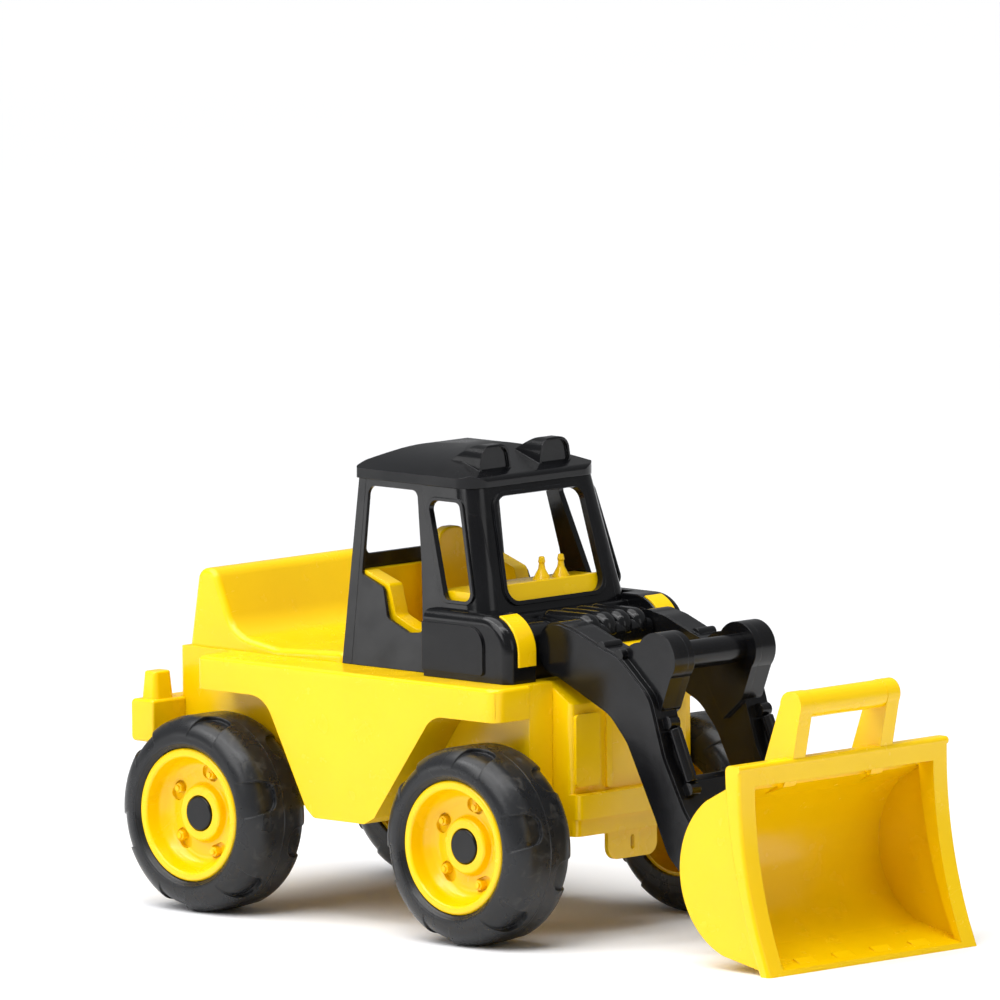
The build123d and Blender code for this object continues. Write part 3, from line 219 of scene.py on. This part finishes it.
# ------------------------------------------------------------------ floor and backdrop
def plain(name, tone, roughness):
    """Matte paper with a barely visible mottle."""
    g = Graph(name)
    mottle = g.mix(g.remap(g.noise(0.8, 3.0), 0.3, 0.7), tone, tuple(0.985 * v for v in tone[:3]) + (1.0,))
    return g.finish(Base_Color=mottle, Roughness=roughness)


bpy.ops.mesh.primitive_circle_add(vertices=96, radius=FLOOR_RADIUS, fill_type="NGON", location=(0, 0, 0))
floor = bpy.context.object
floor.name = "floor"
floor.data.materials.append(plain("floor_paper", (0.93, 0.93, 0.94, 1.0), 0.6))

bpy.ops.mesh.primitive_uv_sphere_add(segments=48, ring_count=24, radius=BACKDROP_RADIUS)
backdrop = bpy.context.object
backdrop.name = "backdrop"
glow = bpy.data.materials.new("backdrop_white")
glow.use_nodes = True
glow.node_tree.nodes.clear()
emission = glow.node_tree.nodes.new("ShaderNodeEmission")
emission.inputs["Color"].default_value = (1.0, 1.0, 1.0, 1.0)
glow_out = glow.node_tree.nodes.new("ShaderNodeOutputMaterial")
glow.node_tree.links.new(emission.outputs["Emission"], glow_out.inputs["Surface"])
backdrop.data.materials.append(glow)
backdrop.visible_diffuse = False
backdrop.visible_glossy = False
backdrop.visible_transmission = False
backdrop.visible_shadow = False


# ------------------------------------------------------------------ light
world = bpy.data.worlds.new("studio")
bpy.context.scene.world = world
world.use_nodes = True
background = world.node_tree.nodes["Background"]
background.inputs["Color"].default_value = (0.97, 0.98, 1.0, 1.0)
background.inputs["Strength"].default_value = 0.3


def softbox(name, position, target, width, height, power):
    """Rectangular area light that faces its target."""
    light = bpy.data.lights.new(name, "AREA")
    light.shape = "RECTANGLE"
    light.size = width
    light.size_y = height
    light.energy = power
    lamp = bpy.data.objects.new(name, light)
    bpy.context.scene.collection.objects.link(lamp)
    lamp.location = position
    lamp.rotation_mode = "QUATERNION"
    lamp.rotation_quaternion = (Vector(target) - Vector(position)).to_track_quat("-Z", "Y")


middle = (0.0, 0.0, 0.2)
softbox("key_left", (-0.2, -2.1, 1.5), middle, 1.5, 1.2, 20.0)
softbox("strip_across", (0.6, -0.2, 1.8), middle, 2.0, 0.22, 8.0)
softbox("strip_along", (-0.2, -0.9, 1.6), middle, 2.0, 0.2, 8.0)
softbox("front", (2.4, 0.4, 1.1), middle, 1.0, 1.2, 4.5)
softbox("side_low", (-1.4, -1.5, 0.46), (-0.05, -0.1, 0.35), 0.8, 0.4, 2.5)

sun = bpy.data.lights.new("sky_panel", "SUN")
sun.energy = 2.9
sun.angle = math.radians(70)
sky = bpy.data.objects.new("sky_panel", sun)
bpy.context.scene.collection.objects.link(sky)
sky.rotation_euler = (math.radians(14), math.radians(-8), 0)

bpy.context.scene.view_settings.view_transform = "Standard"


# ------------------------------------------------------------------ camera
AZIMUTH = 44.0
ELEVATION = 7.0
ROLL = -0.43
DISTANCE = 20.0
VIEW_WIDTH = 0.9
AIM = Vector((0.0303, -0.100, 0.3966))
SENSOR_WIDTH = 36.0

camera = bpy.data.objects.new("camera", bpy.data.cameras.new("camera"))
bpy.context.scene.collection.objects.link(camera)
camera.data.sensor_width = SENSOR_WIDTH
camera.data.lens = SENSOR_WIDTH * DISTANCE / VIEW_WIDTH
camera.data.clip_start = 0.1
camera.data.clip_end = 100.0
turn = (Matrix.Rotation(math.radians(AZIMUTH), 4, "Z") @ Matrix.Rotation(math.radians(90 - ELEVATION), 4, "X")
        @ Matrix.Rotation(math.radians(ROLL), 4, "Z"))
camera.matrix_world = Matrix.Translation(AIM + turn.to_3x3() @ Vector((0, 0, DISTANCE))) @ turn
bpy.context.scene.camera = camera
